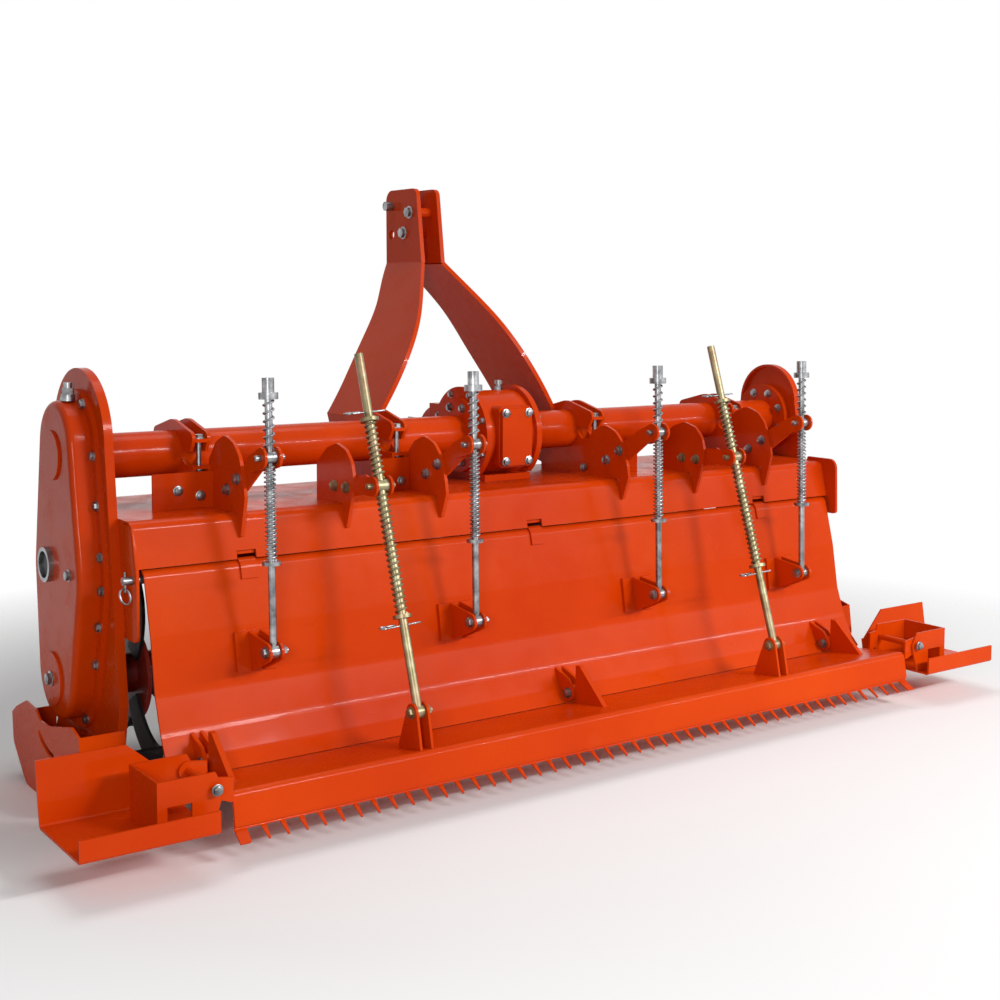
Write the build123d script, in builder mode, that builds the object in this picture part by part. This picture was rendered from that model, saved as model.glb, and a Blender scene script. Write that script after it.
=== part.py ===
from build123d import *
from math import acos, atan2, copysign, cos, degrees, hypot, pi, sin
import os

# Tractor-mounted rotavator: rotor under a hood, side gear drive, hinged rear apron, puddling
# leveller with two folding end trays, and a three-point hitch.
# Millimetres, +Z up, +X along the rotor towards the end without the gear drive, +Y forward.
# The floor is Z = 0. Profiles are drawn in planes square to the machine's length, whose origin
# is the axis of the main tube, so a point (y, z) in them is measured from that axis.

os.makedirs("parts", exist_ok=True)

# ---------------------------------------------------------------- driving dimensions
tube_y = 120.0  # the tube's axis, forward of the middle of the machine
tube_z = 745.0  # the tube's axis above the floor
tube_radius = 50.8
tube_wall = 6.0

hood_half = 1050.0  # half the hood's length: the inner faces of the side plates
apron_half = hood_half - 18.0
leveller_half = apron_half - 42.0
wing_pivot_x = leveller_half + 40.0
sheet = 5.0
plate = 8.0

rotor_drop = 497.0  # rotor axis below the tube's axis
rotor_radius = 238.0

apron_pivot = (-252.0, -236.0)
hinge_rod_radius = 9.0
leveller_pivot = (-406.0, -600.0)

spring_rod_x = (250.0 - hood_half, -281.0, 281.0, hood_half - 250.0)
spring_swivel = (-388.0, 19.0)
spring_eye = (-399.0, -392.0)
spring_rod_top = 168.0  # the rod's upper end beyond the swivel, along the rod
spring_rod_radius = 8.0

adjuster_x = (-537.0, 537.0)
adjuster_swivel = (-399.0, -58.0)
adjuster_eye = (-554.0, -527.0)
adjuster_top = 302.0
adjuster_radius = 10.0

wing_pivot_z = -584.0

pin_gap = 0.1  # radial clearance of a pin or shaft in its bore
side_gap = 1.0  # clearance beside an eye between its ears
face_gap = 0.3  # clearance between two bodies whose faces pass each other


# ---------------------------------------------------------------- planes and shared shapes
def side(x):
    """Plane square to the machine's length, with its origin on the tube's axis."""
    return Plane(origin=(x, tube_y, tube_z), x_dir=(0, 1, 0), z_dir=(1, 0, 0))


def level(z, x=0.0, y=0.0):
    """Horizontal plane at a height z from the tube's axis."""
    return Plane(origin=(x, tube_y + y, tube_z + z), x_dir=(1, 0, 0), z_dir=(0, 0, 1))


def facing_rear(y, x=0.0, z=0.0):
    """Upright plane whose sketch has +x along the machine, and whose normal is rearward."""
    return Plane(origin=(x, tube_y + y, tube_z + z), x_dir=(1, 0, 0), z_dir=(0, -1, 0))


def along_rod(x, low, high, distance=0.0):
    """Plane square to a rod from low to high, at a distance along it from its low end."""
    length = hypot(high[0] - low[0], high[1] - low[1])
    way = ((high[0] - low[0]) / length, (high[1] - low[1]) / length)
    return Plane(
        origin=(x, tube_y + low[0] + way[0] * distance, tube_z + low[1] + way[1] * distance),
        x_dir=(1, 0, 0),
        z_dir=(0, way[0], way[1]),
    )


def distance(a, b):
    return hypot(a[0] - b[0], a[1] - b[1])


def save(part, name):
    part.label = name
    export_step(part, f"parts/{name}.step")


def disc(start, end, centre, radius, mode=Mode.ADD):
    """Round bar along the machine from x = start to x = end."""
    with BuildSketch(side(start)) as circle:
        with Locations(centre):
            Circle(radius)
    extrude(circle.sketch, amount=end - start, mode=mode)


def folded_sheet(points, bends, inward):
    """Sketch of a bent sheet whose outer face follows the points."""
    with BuildLine() as section:
        FilletPolyline(points, radius=bends)
        offset(amount=sheet, side=inward)
    make_face(section.edges())


def hull_of(*circles):
    """Sketch of the tangent hull round circles, each (y, z, radius)."""
    with BuildSketch(Plane.XY, mode=Mode.PRIVATE) as rounds:
        for y, z, radius in circles:
            with Locations((y, z)):
                Circle(radius)
    make_hull(rounds.sketch.edges())


# ---------------------------------------------------------------- main tube
gearbox_x = 27.0
gearbox_half = 87.0
tube_flange_radius = 98.0
tube_flange = 12.0

with BuildPart() as main_tube:
    for start, end in (
        (-hood_half, gearbox_x - gearbox_half),
        (gearbox_x + gearbox_half, hood_half),
    ):
        disc(start, end, (0, 0), tube_radius)
        disc(start, end, (0, 0), tube_radius - tube_wall, mode=Mode.SUBTRACT)
save(main_tube.part, "main_tube")

with BuildPart() as tube_flanges:
    for start in (
        -hood_half,
        gearbox_x - gearbox_half - tube_flange,
        gearbox_x + gearbox_half,
        hood_half - tube_flange,
    ):
        disc(start, start + tube_flange, (0, 0), tube_flange_radius)
        disc(start, start + tube_flange, (0, 0), tube_radius, mode=Mode.SUBTRACT)
save(tube_flanges.part, "tube_flanges")

# ---------------------------------------------------------------- gearbox and input shaft
cover_width = 92.0
cover_height = 146.0
cover_thickness = 10.0
cover_margin = 5.0
gearbox_flange = 16.0
gearbox_flange_radius = 125.0
gearbox_bottom = -99.0
gearbox_rear = -125.0
gearbox_front = 172.0
gearbox_barrel = 113.0
neck_radius = 62.0
neck_front = 236.0
pto_radius = 17.4
pto_front = 390.0
pto_root = 110.0

with BuildPart() as gearbox_housing:
    with BuildSketch(side(gearbox_x - gearbox_half + gearbox_flange)):
        Circle(gearbox_barrel)
        with Locations((gearbox_front / 2, (gearbox_bottom + neck_radius + 10) / 2)):
            Rectangle(gearbox_front, neck_radius + 10 - gearbox_bottom)
        with Locations((0, gearbox_bottom - gearbox_flange_radius)):
            Rectangle(4 * gearbox_flange_radius, 2 * gearbox_flange_radius, mode=Mode.SUBTRACT)
    extrude(amount=2 * (gearbox_half - gearbox_flange))
    with BuildSketch(facing_rear(gearbox_rear, gearbox_x)):
        RectangleRounded(cover_width + 2 * cover_margin, cover_height + 2 * cover_margin, 12)
    extrude(amount=gearbox_rear)
    for start in (gearbox_x - gearbox_half, gearbox_x + gearbox_half - gearbox_flange):
        with BuildSketch(side(start)):
            Circle(gearbox_flange_radius)
            with Locations((0, gearbox_bottom - gearbox_flange_radius)):
                Rectangle(
                    4 * gearbox_flange_radius, 2 * gearbox_flange_radius, mode=Mode.SUBTRACT
                )
        extrude(amount=gearbox_flange)
    with BuildSketch(facing_rear(neck_front, gearbox_x)):
        Circle(neck_radius)
    extrude(amount=neck_front - gearbox_front)
    with BuildSketch(facing_rear(neck_front, gearbox_x)):
        Circle(pto_radius + pin_gap)
    extrude(amount=neck_front - pto_root + face_gap, mode=Mode.SUBTRACT)
save(gearbox_housing.part, "gearbox_housing")

with BuildPart() as gearbox_cover:
    with BuildSketch(facing_rear(gearbox_rear, gearbox_x)):
        RectangleRounded(cover_width, cover_height, 9)
    extrude(amount=cover_thickness)
save(gearbox_cover.part, "gearbox_cover")

spline_length = 70.0
spline_depth = 2.6
shaft_shoulder = 24.0
shoulder_width = 5.5
shoulder_gap = 0.5  # between the shoulder and the neck's face

with BuildPart() as pto_shaft:
    with BuildSketch(facing_rear(pto_front, gearbox_x)):
        Circle(pto_radius)
    extrude(amount=pto_front - pto_root)
    with BuildSketch(facing_rear(neck_front + shoulder_gap + shoulder_width, gearbox_x)):
        Circle(shaft_shoulder)
    extrude(amount=shoulder_width)
    with BuildSketch(facing_rear(pto_front, gearbox_x)):
        with PolarLocations(pto_radius, 6):
            Rectangle(2 * spline_depth, 8.6)
    extrude(amount=spline_length, mode=Mode.SUBTRACT)
save(pto_shaft.part, "pto_shaft")

# ---------------------------------------------------------------- side plates
rim_depth = 12.0
rim_width = 7.0
plate_inner = hood_half + rim_depth
plate_outer = plate_inner + plate
left_arch = (6.0, 36.0, 162.0)  # centre y, centre z and radius of the plate's top
right_arch = (-14.0, 46.0, 112.0)
plate_foot = -650.0
bearing_radius = 76.0
bearing_inner = hood_half - 24.0
stub_radius = 25.0
rotor_axis = (0.0, -rotor_drop)


def plate_outline(arch, inset=0.0):
    """Arch over the tube, widening down to a straight foot under the rotor's axis."""
    cy, cz, radius = arch
    radius = radius - inset
    with BuildLine() as outline:
        ThreePointArc((cy - radius, cz), (cy, cz + radius), (cy + radius, cz))
        Polyline(
            (cy + radius, cz),
            (176 - inset, -330),
            (146 - inset, plate_foot + inset),
            (-190 + inset, plate_foot + inset),
            (-219 + inset, -510),
            (cy - radius, cz),
        )
    make_face(outline.edges())


for arch, name, outward in (
    (left_arch, "side_plate_left", -1),
    (right_arch, "side_plate_right", 1),
):
    with BuildPart() as side_plate:
        with BuildSketch(side(outward * plate_inner)):
            plate_outline(arch)
        extrude(amount=outward * plate)
        with BuildSketch(side(outward * hood_half)):
            plate_outline(arch)
        extrude(amount=outward * rim_depth)
        with BuildSketch(side(outward * hood_half)):
            plate_outline(arch, rim_width)
        extrude(amount=outward * rim_depth, mode=Mode.SUBTRACT)
        with BuildSketch(side(outward * hood_half)):
            Circle(tube_flange_radius)
        extrude(amount=outward * rim_depth)
    save(side_plate.part, name)

with BuildPart() as bearing_housings:
    for outward in (-1, 1):
        start, end = outward * bearing_inner, outward * plate_inner
        disc(start, end, rotor_axis, bearing_radius)
        disc(start, end, rotor_axis, stub_radius + pin_gap, mode=Mode.SUBTRACT)
save(bearing_housings.part, "bearing_housings")

# ---------------------------------------------------------------- gear drive on the left
case_flange = 10.0
case_depth = 58.0
case_face = plate_outer + case_depth
case_rounds = ((0.0, 28.0, 100.0), (0.0, -250.0, 146.0), (18.0, -470.0, 112.0))
case_lip = 24.0

with BuildPart() as drive_case:
    with BuildSketch(side(-plate_outer)):
        hull_of(*case_rounds)
    extrude(amount=-case_depth)
    fillet(drive_case.faces().sort_by(Axis.X)[0].edges(), radius=14)
    with BuildSketch(side(-plate_outer)):
        hull_of(*[(y, z, radius + case_lip) for y, z, radius in case_rounds])
    extrude(amount=-case_flange)
save(drive_case.part, "drive_case")

port_place = (46.0, -238.0)
port_radius = 39.0

case_bosses = ((10.0, 8.0, 55.0), (28.0, -492.0, 60.0))
boss_proud = 5.0
breather_y = -16.0
breather_x = -plate_outer - 28.0
breather_seat = case_rounds[0][1] + case_rounds[0][2]

with BuildPart() as case_pads:
    for y, z, radius in case_bosses:
        disc(-case_face, -case_face - boss_proud, (y, z), radius)
save(case_pads.part, "case_pads")

with BuildPart() as case_port:
    with BuildSketch(side(-case_face)):
        with Locations(port_place):
            Circle(port_radius)
            Circle(port_radius - 9, mode=Mode.SUBTRACT)
    extrude(amount=-12)
    with BuildSketch(side(-case_face)):
        with Locations(port_place):
            Circle(port_radius - 9)
    extrude(amount=-3)
save(case_port.part, "case_port")

with BuildPart() as case_breather:
    with BuildSketch(level(breather_seat, x=breather_x, y=breather_y)):
        Circle(15)
    extrude(amount=14)
    with BuildSketch(level(breather_seat + 14, x=breather_x, y=breather_y)):
        RegularPolygon(13, 6)
    extrude(amount=14)
    with BuildSketch(level(breather_seat + 28, x=breather_x, y=breather_y)):
        Circle(9)
    extrude(amount=12)
save(case_breather.part, "case_breather")

# ---------------------------------------------------------------- skids
skid_width = 100.0
skid_web_top = -612.0
skid_points = (
    (196.0, -600.0),
    (190.0, -668.0),
    (104.0, -tube_z),
    (-176.0, -tube_z),
    (-262.0, -640.0),
    (-250.0, -552.0),
)
skid_bends = (30, 60, 60, 40)
guard = 5.0  # the outer plate of a skid
guard_top = (
    (-250.0, -552.0),
    (-205.0, -540.0),
    (-60.0, -574.0),
    (0.0, -574.0),
    (26.0, -556.0),
    (96.0, -552.0),
    (164.0, -580.0),
)
slot_points = ((2.0, -604.0), (-34.0, -624.0), (-84.0, -634.0))
slot_width = 15.0

for outward, name in ((-1, "skid_left"), (1, "skid_right")):
    with BuildPart() as skid:
        with BuildSketch(side(outward * plate_outer)):
            folded_sheet(skid_points, skid_bends, Side.RIGHT)
        extrude(amount=outward * skid_width)
        with BuildSketch(side(outward * plate_outer)):
            Polygon(
                (150, skid_web_top),
                (176, -660),
                (100, -tube_z + sheet),
                (-170, -tube_z + sheet),
                (-246, -648),
                (-190, skid_web_top),
                align=None,
            )
        extrude(amount=outward * plate)
        with BuildSketch(side(outward * (plate_outer + skid_width))):
            with BuildLine():
                FilletPolyline(skid_points, radius=skid_bends)
                Polyline(skid_points[-1], *guard_top[1:], skid_points[0])
            make_face()
            with BuildLine(mode=Mode.PRIVATE) as slot_line:
                ThreePointArc(*slot_points)
            SlotArc(slot_line.edges()[0], slot_width, mode=Mode.SUBTRACT)
        extrude(amount=-outward * guard)
    save(skid.part, name)

# ---------------------------------------------------------------- hood over the rotor
deck = -115.0  # the hood's flat top
hood_split = 120.0
hood_front_points = ((262.0, -330.0), (236.0, -190.0), (172.0, deck), (hood_split, deck))
hood_rear_points = ((hood_split, deck), (-243.0, deck), (-266.0, -212.0))
hood_bends = (60.0, 40.0)
hood_rear_bend = 22.0

with BuildPart() as hood_front:
    with BuildSketch(side(-hood_half)):
        folded_sheet(hood_front_points, hood_bends, Side.LEFT)
    extrude(amount=2 * hood_half)
save(hood_front.part, "hood_front")

end_sheet_rear = -201.0
end_sheet_foot = -368.0
end_plate_top = deck + 10.0
strap_x = (-795.0, -13.0, 766.0)
strap_width = 40.0
strap_notch = 18.0  # cut up into the hood's rear edge over each strap

with BuildPart() as hood_top:
    with BuildSketch(side(-hood_half)):
        folded_sheet(hood_rear_points, hood_rear_bend, Side.LEFT)
    extrude(amount=2 * hood_half - plate)
    with BuildSketch(facing_rear(hood_rear_points[-1][0] + 20)):
        with Locations(*[(x, hood_rear_points[-1][1]) for x in strap_x]):
            Rectangle(strap_width + 6, 2 * strap_notch)
    extrude(amount=40, mode=Mode.SUBTRACT)
save(hood_top.part, "hood_top")

with BuildPart() as hood_end_left:
    with BuildSketch(side(-hood_half)):
        Polygon(
            (end_sheet_rear, deck - sheet),
            (end_sheet_rear, end_sheet_foot),
            (170, end_sheet_foot),
            (226, -204),
            (150, deck - sheet),
            align=None,
        )
    extrude(amount=plate)
save(hood_end_left.part, "hood_end_left")

with BuildPart() as hood_end_right:
    with BuildSketch(side(hood_half)):
        with BuildLine():
            FilletPolyline(
                (hood_split, deck),
                (-186, deck),
                (-190, end_plate_top),
                (-296, end_plate_top),
                (-301, -262),
                (end_sheet_rear, -262),
                (end_sheet_rear, end_sheet_foot),
                (170, end_sheet_foot),
                (226, -204),
                (150, deck - sheet),
                (hood_split, deck - sheet),
                radius=(1, 1, 2, 26, 10, 5, 20, 20, 10, 2, 1),
                close=True,
            )
        make_face()
        with Locations(apron_pivot):
            Circle(hinge_rod_radius, mode=Mode.SUBTRACT)
    extrude(amount=-plate)
save(hood_end_right.part, "hood_end_right")

# ---------------------------------------------------------------- apron hinge
hinge_rod_half = hood_half + 22.0
barrel_radius = 16.5
lug_radius = 15.0
lug_width = 10.0
barrel_width = 64.0
hinge_x = (35.0 - hood_half, -650.0, -410.0, -160.0, 160.0, 410.0, 650.0, hood_half - 110.0)

with BuildPart() as hinge_rod:
    disc(-hinge_rod_half, hood_half - 4, apron_pivot, hinge_rod_radius)
save(hinge_rod.part, "hinge_rod")

with BuildPart() as hinge_lugs:
    for x in hinge_x:
        with BuildSketch(side(x)):
            with Locations(apron_pivot):
                Circle(lug_radius)
            Polygon(
                (apron_pivot[0], apron_pivot[1] - lug_radius),
                (apron_pivot[0] + 28, apron_pivot[1] - 10),
                (apron_pivot[0] + 38, -200),
                (-192, deck - sheet),
                (-221, deck - sheet),
                (apron_pivot[0] + 16, -190),
                (apron_pivot[0] + 16, apron_pivot[1] + 10),
                (apron_pivot[0], apron_pivot[1] + lug_radius),
                align=None,
            )
            with Locations(apron_pivot):
                Circle(hinge_rod_radius, mode=Mode.SUBTRACT)
        extrude(amount=lug_width)
save(hinge_lugs.part, "hinge_lugs")

# ---------------------------------------------------------------- apron
apron_wrap = 20.9  # outer face of the apron's top edge, from the hinge's axis
apron_bend = (-303.0, -350.0)


def tangent_point(centre, radius, point):
    """Where the line from a point touches the near side of a circle, going anticlockwise."""
    dy, dz = point[0] - centre[0], point[1] - centre[1]
    turn = atan2(dz, dy) % (2 * pi) - acos(radius / hypot(dy, dz))
    return centre[0] + radius * cos(turn), centre[1] + radius * sin(turn)


apron_top = tangent_point(apron_pivot, apron_wrap, apron_bend)
apron_points = (
    apron_top,
    apron_bend,
    (-323.0, -470.0),
    (-350.0, -545.0),
    (-378.0, -597.0),
    (-404.0, -624.0),
)
apron_bends = (60.0, 60.0, 90.0, 30.0)

apron_curl = -66.0  # degrees that the top edge curls on over the hinge
top_turn = degrees(atan2(apron_top[1] - apron_pivot[1], apron_top[0] - apron_pivot[0]))

with BuildPart() as apron_sheet:
    with BuildSketch(side(-apron_half)) as section:
        folded_sheet(apron_points, apron_bends, Side.LEFT)
        with BuildLine() as curl:
            CenterArc(apron_pivot, apron_wrap, top_turn, apron_curl)
            offset(amount=sheet, side=Side.RIGHT)
        make_face(curl.edges())
    extrude(section.sketch, amount=2 * apron_half)
    for x in hinge_x:
        start = x + lug_width + side_gap
        disc(start, start + barrel_width, apron_pivot, barrel_radius)
        disc(start, start + barrel_width, apron_pivot, hinge_rod_radius + pin_gap, Mode.SUBTRACT)
save(apron_sheet.part, "apron_sheet")

strap_thickness = 5.0
strap_tail = 24.0

sheet_run = (Vector(*apron_bend) - Vector(*apron_top)).normalized()

with BuildPart() as apron_straps:
    for x in strap_x:
        with BuildSketch(side(x - strap_width / 2)):
            with BuildLine():
                Line(Vector(*apron_top) + sheet_run * strap_tail, Vector(*apron_top))
                CenterArc(apron_pivot, apron_wrap, top_turn, apron_curl)
                offset(amount=strap_thickness, side=Side.LEFT)
            make_face()
        extrude(amount=strap_width)
save(apron_straps.part, "apron_straps")

# ---------------------------------------------------------------- spring and adjuster brackets
swivel_radius = 13.5
swivel_half = 13.5
journal_radius = 7.0
ear = 6.0
spring_ear = swivel_half + side_gap  # inner face of the ears, from the rod's centre
adjuster_swivel_radius = 15.0
adjuster_swivel_half = 15.5
adjuster_ear = adjuster_swivel_half + side_gap

outer_lobe = (
    (-100.0, deck),
    (-100.0, -10.0),
    (-139.0, 34.0),
    (-185.0, 52.0),
    (-230.0, 37.0),
    (-257.0, 10.0),
    (-278.0, -47.0),
    (-284.0, -79.0),
    (-262.0, -165.0),
    (-256.0, -165.0),
    (-244.5, deck),
)
lobe_bends = (16, 40, 40, 40, 40, 40, 20, 3, 3)
inner_lobe_drop = 28.0
adjuster_lobe = (
    (-120.0, deck),
    (-120.0, -30.0),
    (-170.0, 8.0),
    (-214.0, 22.0),
    (-258.0, 10.0),
    (-283.0, -16.0),
    (-296.0, -60.0),
    (-262.0, -168.0),
    (-257.0, -168.0),
    (-244.5, deck),
)
adjuster_lobe_bends = (20, 40, 30, 30, 30, 20, 3, 3)


def lobe_outline(points, bends, drop=0.0):
    """Rounded plate standing on the hood's top, with a fin down behind its rear lip."""
    lowered = [(y, z if z <= deck else z - drop) for y, z in points]
    with BuildLine() as outline:
        FilletPolyline(lowered, radius=bends)
        Line(lowered[-1], lowered[0])
    make_face(outline.edges())


with BuildPart() as lobe_plates:
    for x in spring_rod_x:
        with BuildSketch(side(x - plate)):
            lobe_outline(outer_lobe, lobe_bends, inner_lobe_drop if abs(x) < 500 else 0.0)
        extrude(amount=plate)
    for x in adjuster_x:
        with BuildSketch(side(x - plate)):
            lobe_outline(adjuster_lobe, adjuster_lobe_bends)
        extrude(amount=plate)
save(lobe_plates.part, "lobe_plates")


def fork(x, swivel, inner, arm, web, end):
    """Bar on a lobe's face, with a web and two ears at its end for the swivel."""
    with BuildSketch(side(x)) as bar:
        hull_of(*arm)
    extrude(bar.sketch, amount=ear)
    with BuildSketch(side(x - inner)) as web_face:
        with Locations(web):
            Rectangle(8, 34)
    extrude(web_face.sketch, amount=2 * inner)
    for start in (x - inner - ear, x + inner):
        with BuildSketch(side(start)) as ear_face:
            hull_of((*web, 18.0), (*swivel, end))
            with Locations(swivel):
                Circle(journal_radius + pin_gap, mode=Mode.SUBTRACT)
        extrude(ear_face.sketch, amount=ear)


with BuildPart() as spring_arms:
    for x in spring_rod_x:
        fork(
            x,
            spring_swivel,
            spring_ear,
            ((-196.0, -68.0, 22.0), (-262.0, -40.0, 26.0), (-330.0, 0.0, 20.0)),
            (-338.0, 2.0),
            22.0,
        )
save(spring_arms.part, "spring_arms")

with BuildPart() as adjuster_arms:
    for x in adjuster_x:
        fork(
            x,
            adjuster_swivel,
            adjuster_ear,
            ((-207.0, -77.0, 22.0), (-262.0, -76.0, 22.0), (-330.0, -62.0, 22.0)),
            (-338.0, -62.0),
            22.0,
        )
save(adjuster_arms.part, "adjuster_arms")

# ---------------------------------------------------------------- clamps on the tube
clamp_x = hood_half - 220.0
hitch_x = 312.0
clamp_gap = 28.0  # between the two plates of a clamp
saddle_radius = 76.0
clamp_bolt_y = 96.0  # the upright bolts, rear and front of the tube
clamp_flange = 8.0
saddle_foot = 30.0  # underside of the saddle's flanges
bracket_head = -22.0  # top of the lower bracket's flanges
flange_reach = 16.0
hitch_pin = (230.0, -30.0)
hitch_pin_radius = 14.0
hitch_nose_radius = 42.0
rear_plate_y = -120.0
rear_plate_width = 120.0
rear_plate_top = -34.0


def saddle_outline():
    """Plate over the top of the tube, down to the flanges for the upright bolts."""
    hull_of(
        (0.0, 0.0, saddle_radius),
        (-clamp_bolt_y, saddle_foot + 8, 16.0),
        (clamp_bolt_y, saddle_foot + 8, 16.0),
    )
    with Locations((0, -saddle_radius)):
        Rectangle(4 * saddle_radius, 2 * (saddle_foot + saddle_radius - 22), mode=Mode.SUBTRACT)
    Circle(tube_radius, mode=Mode.SUBTRACT)


def bracket_outline(nose):
    """Plate from the hood up to the underside of the tube, with a hitch nose or without."""
    reach = clamp_bolt_y + flange_reach
    Polygon(
        (-reach, deck),
        (-reach, bracket_head),
        (-saddle_radius + 8, bracket_head),
        (-52, -8),
        (52, -8),
        (saddle_radius - 8, bracket_head),
        (reach, bracket_head),
        (reach, deck),
        align=None,
    )
    if nose:
        hull_of((60.0, -70.0, 44.0), (*hitch_pin, hitch_nose_radius))
    Circle(tube_radius, mode=Mode.SUBTRACT)


def clamp_flanges(low, high):
    """Flange plates between a clamp's two plates, for the upright bolts."""
    for y in (-clamp_bolt_y, clamp_bolt_y):
        for z in (saddle_foot, bracket_head - clamp_flange):
            with BuildSketch(level(z, (low + high) / 2, y)) as flange:
                Rectangle(high - low, 2 * flange_reach)
            extrude(flange.sketch, amount=clamp_flange)


def rear_plate(low, high):
    """Upright plate across the rear of a bracket."""
    with BuildSketch(facing_rear(rear_plate_y + sheet, (low + high) / 2)) as upright:
        with Locations((0, (rear_plate_top + deck) / 2)):
            Rectangle(high - low, rear_plate_top - deck)
    extrude(upright.sketch, amount=sheet)


with BuildPart() as pipe_clamps:
    for x in (-clamp_x, clamp_x):
        for start in (x - clamp_gap / 2 - plate, x + clamp_gap / 2):
            with BuildSketch(side(start)) as saddle:
                saddle_outline()
            extrude(saddle.sketch, amount=plate)
            with BuildSketch(side(start)) as bracket:
                bracket_outline(False)
            extrude(bracket.sketch, amount=plate)
        clamp_flanges(x - clamp_gap / 2, x + clamp_gap / 2)
        outer = x + copysign(rear_plate_width, x)
        rear_plate(min(x - clamp_gap / 2 - plate, outer), max(x + clamp_gap / 2 + plate, outer))
save(pipe_clamps.part, "pipe_clamps")

for outward, name in ((-1, "hitch_plates_left"), (1, "hitch_plates_right")):
    with BuildPart() as hitch_plates:
        for start in (hitch_x - clamp_gap / 2, hitch_x + clamp_gap / 2 + plate):
            with BuildSketch(side(outward * start)) as saddle:
                saddle_outline()
            extrude(saddle.sketch, amount=-outward * plate)
            with BuildSketch(side(outward * start)) as bracket:
                bracket_outline(True)
                with Locations(hitch_pin):
                    Circle(hitch_pin_radius, mode=Mode.SUBTRACT)
            extrude(bracket.sketch, amount=-outward * plate)
        x = outward * hitch_x
        clamp_flanges(x - clamp_gap / 2, x + clamp_gap / 2)
        low, high = x - clamp_gap / 2 - plate, x + clamp_gap / 2 + plate
        rear_plate(low - (60 if outward < 0 else 0), high + (0 if outward < 0 else 110))
    save(hitch_plates.part, name)

hitch_pin_outer = 452.0
hitch_collar = 22.0

with BuildPart() as hitch_pins:
    for outward in (-1, 1):
        with BuildSketch(side(outward * (hitch_x - clamp_gap / 2 - plate))):
            with Locations(hitch_pin):
                Circle(hitch_pin_radius)
        extrude(amount=outward * (hitch_pin_outer - hitch_x + clamp_gap / 2 + plate))
        with BuildSketch(side(outward * (hitch_x + clamp_gap / 2 + plate))):
            with Locations(hitch_pin):
                Circle(hitch_collar)
        extrude(amount=outward * 26)
save(hitch_pins.part, "hitch_pins")

# ---------------------------------------------------------------- mast
mast_x = 32.0  # middle of each bar
mast_bar = 12.0
mast_bend = 450.0
mast_top = 652.0
mast_foot_x = hitch_x - clamp_gap / 2 - plate - mast_bar / 2
mast_foot = 44.0
mast_slope = hypot(mast_foot_x - mast_x, mast_bend - mast_foot)
leg_rear = ((222.0, 0.0), (140.0, 110.0), (90.0, 190.0), (58.0, 280.0))
leg_front = ((298.0, 400.0), (316.0, 270.0), (340.0, 140.0), (372.0, 76.0), (405.0, 0.0))
leg_rear_foot = 44.0
leg_front_foot = 296.0
link_hole = (377.0, 530.0)
link_hole_radius = 12.9
top_pin = (374.0, 608.0)
top_pin_radius = 12.5

for outward, name in ((-1, "mast_left"), (1, "mast_right")):
    run = Vector(outward * (mast_foot_x - mast_x), 0, mast_foot - mast_bend).normalized()
    leg = Plane(
        origin=(outward * mast_x, tube_y, tube_z + mast_bend),
        x_dir=(0, 1, 0),
        z_dir=(run.Z, 0, -run.X),
    )
    with BuildPart() as mast:
        with BuildSketch(side(outward * mast_x)):
            with BuildLine():
                FilletPolyline(
                    (222, mast_bend),
                    (250, mast_top),
                    (407, mast_top),
                    (405, mast_bend),
                    radius=(22, 30),
                )
                Line((405, mast_bend), (222, mast_bend))
            make_face()
            with Locations(link_hole):
                Circle(link_hole_radius, mode=Mode.SUBTRACT)
            with Locations(top_pin):
                Circle(top_pin_radius, mode=Mode.SUBTRACT)
        extrude(amount=mast_bar / 2, both=True)
        with BuildSketch(leg):
            with BuildLine():
                Spline(*leg_rear, (leg_rear_foot, mast_slope))
                Line((leg_rear_foot, mast_slope), (leg_front_foot, mast_slope))
                Spline((leg_front_foot, mast_slope), *leg_front)
                Line(leg_front[-1], leg_rear[0])
            make_face()
        extrude(amount=mast_bar / 2, both=True)
        with BuildSketch(side(outward * mast_foot_x)):
            Polygon(
                (leg_rear_foot, 48),
                (leg_front_foot, 48),
                (262, -24),
                (110, -24),
                align=None,
            )
        extrude(amount=mast_bar / 2, both=True)
    save(mast.part, name)

with BuildPart() as mast_pins:
    disc(-62, 62, top_pin, top_pin_radius)
save(mast_pins.part, "mast_pins")

with BuildPart() as mast_spacers:
    for place in ((283, 588), (314, 533)):
        disc(-mast_x + mast_bar / 2, mast_x - mast_bar / 2, place, 13)
save(mast_spacers.part, "mast_spacers")

# ---------------------------------------------------------------- gearbox seat on the hood
with BuildPart() as gearbox_seat:
    with BuildSketch(level(deck, x=gearbox_x, y=12)):
        Rectangle(2 * gearbox_half - 30, 210)
    extrude(amount=gearbox_bottom - deck)
save(gearbox_seat.part, "gearbox_seat")

# ---------------------------------------------------------------- rotor
rotor_tube_radius = 44.5
rotor_tube_half = bearing_inner - 4.0
flange_count = 9
rotor_flange_span = bearing_inner - 70.0
rotor_flange_radius = 105.0
rotor_flange = 10.0
blade_thickness = 8.0
blade_reach = 78.0
blades_a_side = 3
flange_twist = 23.0

with BuildPart() as rotor_shaft:
    disc(-rotor_tube_half, rotor_tube_half, rotor_axis, rotor_tube_radius)
    disc(-plate_inner + 2, plate_inner - 2, rotor_axis, stub_radius)
save(rotor_shaft.part, "rotor_shaft")

flange_x = [
    -rotor_flange_span + i * 2 * rotor_flange_span / (flange_count - 1) for i in range(flange_count)
]

with BuildPart() as rotor_flanges:
    for x in flange_x:
        start, end = x - rotor_flange / 2, x + rotor_flange / 2
        disc(start, end, rotor_axis, rotor_flange_radius)
        disc(start, end, rotor_axis, rotor_tube_radius, mode=Mode.SUBTRACT)
save(rotor_flanges.part, "rotor_flanges")


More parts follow.
